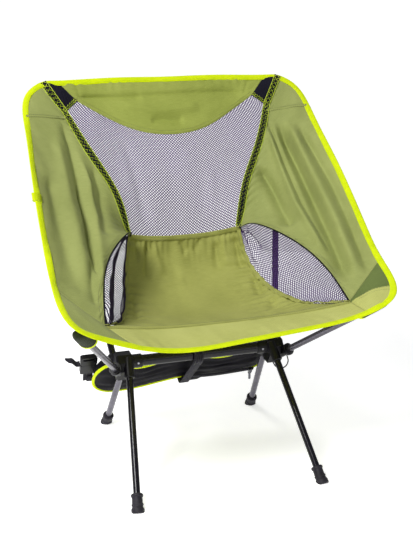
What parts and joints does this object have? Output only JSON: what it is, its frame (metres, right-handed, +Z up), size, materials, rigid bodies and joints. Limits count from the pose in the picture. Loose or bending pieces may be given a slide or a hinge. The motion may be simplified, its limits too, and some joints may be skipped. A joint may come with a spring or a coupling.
{
  "type": "ultralight backpacking chair",
  "caption": "Low folding camp chair: slung fabric bucket seat with net back on four poles, two moulded hubs joined by a crossbar, splayed legs in rubber boots, and a storage bag under the seat.",
  "frame": {"origin": "on the floor, under the middle of the chair's bounding box", "axes": "+Z up, the sitter faces -Y, +X to the right seen from the front"},
  "size_m": [0.606, 0.5212, 0.7052],
  "materials": {
    "boot_rubber": "matt moulded rubber",
    "hub_plastic": "satin moulded nylon",
    "pin_steel": "plain steel",
    "bare_aluminium": "drawn, bare",
    "shock_cord": "braided elastic",
    "anodised_tube": "gloss black anodised",
    "net": "open polyester net",
    "binding": "bright folded tape",
    "black_fabric": "ripstop weave",
    "webbing": "woven webbing",
    "bag_fabric": "thin coated weave",
    "buckle_plastic": "moulded acetal",
    "zip_metal": "plated",
    "seat_fabric": "plain polyester weave"
  },
  "bodies": {
    "frame": {"crossbar": "anodised_tube", "hub_left": "hub_plastic", "hub_right": "hub_plastic", "hub_pins": "pin_steel", "socket_rings_left": "hub_plastic", "socket_rings_right": "hub_plastic", "shock_cords_left": "shock_cord", "shock_cords_right": "shock_cord", "cord_loop": "shock_cord"},
    "sling": {"top_panel": "seat_fabric", "back_mesh": "net", "seat_panel": "seat_fabric", "front_flap": "seat_fabric", "edge_binding": "binding", "top_patch_right": "black_fabric", "wing_right": "seat_fabric", "seam_tape_right": "webbing", "side_mesh_right": "net", "front_pocket_right": "seat_fabric", "top_patch_left": "black_fabric", "wing_left": "seat_fabric", "seam_tape_left": "webbing", "side_mesh_left": "net", "front_pocket_left": "seat_fabric"},
    "bag": {"storage_bag": "bag_fabric", "bag_piping": "binding", "bag_strap": "webbing", "bag_web": "webbing", "buckle_socket": "buckle_plastic"},
    "buckle_half": {"buckle_clip": "buckle_plastic", "strap_tail": "webbing"},
    "zip_slider": {"zip_slider": "zip_metal"},
    "zip_pull": {"zip_pull": "zip_metal"},
    "front_leg_right": {"front_leg_right": "anodised_tube", "front_leg_boot_right": "boot_rubber"},
    "rear_leg_right": {"rear_leg_right": "anodised_tube", "rear_leg_boot_right": "boot_rubber"},
    "seat_pole_right": {"seat_pole_right": "anodised_tube", "seat_pole_cap_right": "hub_plastic"},
    "back_pole_right": {"back_pole_lower_right": "anodised_tube", "back_pole_ferrule_right": "bare_aluminium"},
    "back_pole_top_right": {"back_pole_upper_right": "anodised_tube", "back_pole_cap_right": "hub_plastic"},
    "front_leg_left": {"front_leg_left": "anodised_tube", "front_leg_boot_left": "boot_rubber"},
    "rear_leg_left": {"rear_leg_left": "anodised_tube", "rear_leg_boot_left": "boot_rubber"},
    "seat_pole_left": {"seat_pole_left": "anodised_tube", "seat_pole_cap_left": "hub_plastic"},
    "back_pole_left": {"back_pole_lower_left": "anodised_tube", "back_pole_ferrule_left": "bare_aluminium"},
    "back_pole_top_left": {"back_pole_upper_left": "anodised_tube", "back_pole_cap_left": "hub_plastic"}
  },
  "joints": [
    {"name": "front_leg_slide_right", "type": "slide", "parent": "frame", "child": "front_leg_right", "axis": [0.1116, -0.6937, -0.7116], "range_m": [0, 0.06], "stiffness_N_per_m": 80, "springref_m": -0.06},
    {"name": "rear_leg_slide_right", "type": "slide", "parent": "frame", "child": "rear_leg_right", "axis": [0.0689, 0.5576, -0.8273], "range_m": [0, 0.06], "stiffness_N_per_m": 80, "springref_m": -0.06},
    {"name": "seat_pole_slide_right", "type": "slide", "parent": "frame", "child": "seat_pole_right", "axis": [0.3646, -0.7292, 0.579], "range_m": [0, 0.05]},
    {"name": "back_pole_slide_right", "type": "slide", "parent": "frame", "child": "back_pole_right", "axis": [0.1474, 0.4327, 0.8894], "range_m": [0, 0.05]},
    {"name": "back_pole_part_right", "type": "slide", "parent": "back_pole_right", "child": "back_pole_top_right", "axis": [0.1474, 0.4327, 0.8894], "range_m": [0, 0.04]},
    {"name": "front_leg_slide_left", "type": "slide", "parent": "frame", "child": "front_leg_left", "axis": [-0.1116, -0.6937, -0.7116], "range_m": [0, 0.06], "stiffness_N_per_m": 80, "springref_m": -0.06},
    {"name": "rear_leg_slide_left", "type": "slide", "parent": "frame", "child": "rear_leg_left", "axis": [-0.0689, 0.5576, -0.8273], "range_m": [0, 0.06], "stiffness_N_per_m": 80, "springref_m": -0.06},
    {"name": "seat_pole_slide_left", "type": "slide", "parent": "frame", "child": "seat_pole_left", "axis": [-0.3646, -0.7292, 0.579], "range_m": [0, 0.05]},
    {"name": "back_pole_slide_left", "type": "slide", "parent": "frame", "child": "back_pole_left", "axis": [-0.1474, 0.4327, 0.8894], "range_m": [0, 0.05]},
    {"name": "back_pole_part_left", "type": "slide", "parent": "back_pole_left", "child": "back_pole_top_left", "axis": [-0.1474, 0.4327, 0.8894], "range_m": [0, 0.04]},
    {"name": "seat_lift", "type": "slide", "parent": "frame", "child": "sling", "axis": [0, 0, 1], "range_m": [0, 0.2]},
    {"name": "bag_swing", "type": "hinge", "parent": "frame", "child": "bag", "pos_m": [0, -0.01139, 0.198], "axis": [1, 0, 0], "range_deg": [0, 35]},
    {"name": "buckle_release", "type": "slide", "parent": "bag", "child": "buckle_half", "axis": [-0.0279, -0.5587, 0.8289], "range_m": [0, 0.03]},
    {"name": "zip_run", "type": "slide", "parent": "bag", "child": "zip_slider", "axis": [0.9996, -0.0156, 0.0232], "range_m": [-0.12, 0]},
    {"name": "zip_pull_swing", "type": "hinge", "parent": "zip_slider", "child": "zip_pull", "pos_m": [0.13814, 0.0812, 0.10166], "axis": [0.9996, -0.0156, 0.0232], "range_deg": [-75, 10]}
  ],
  "couplings": [
    {"joint": "seat_pole_slide_right", "follows": "seat_lift", "ratio": 0.25},
    {"joint": "back_pole_slide_right", "follows": "seat_lift", "ratio": 0.25},
    {"joint": "back_pole_part_right", "follows": "seat_lift", "ratio": 0.2},
    {"joint": "seat_pole_slide_left", "follows": "seat_lift", "ratio": 0.25},
    {"joint": "back_pole_slide_left", "follows": "seat_lift", "ratio": 0.25},
    {"joint": "back_pole_part_left", "follows": "seat_lift", "ratio": 0.2}
  ]
}
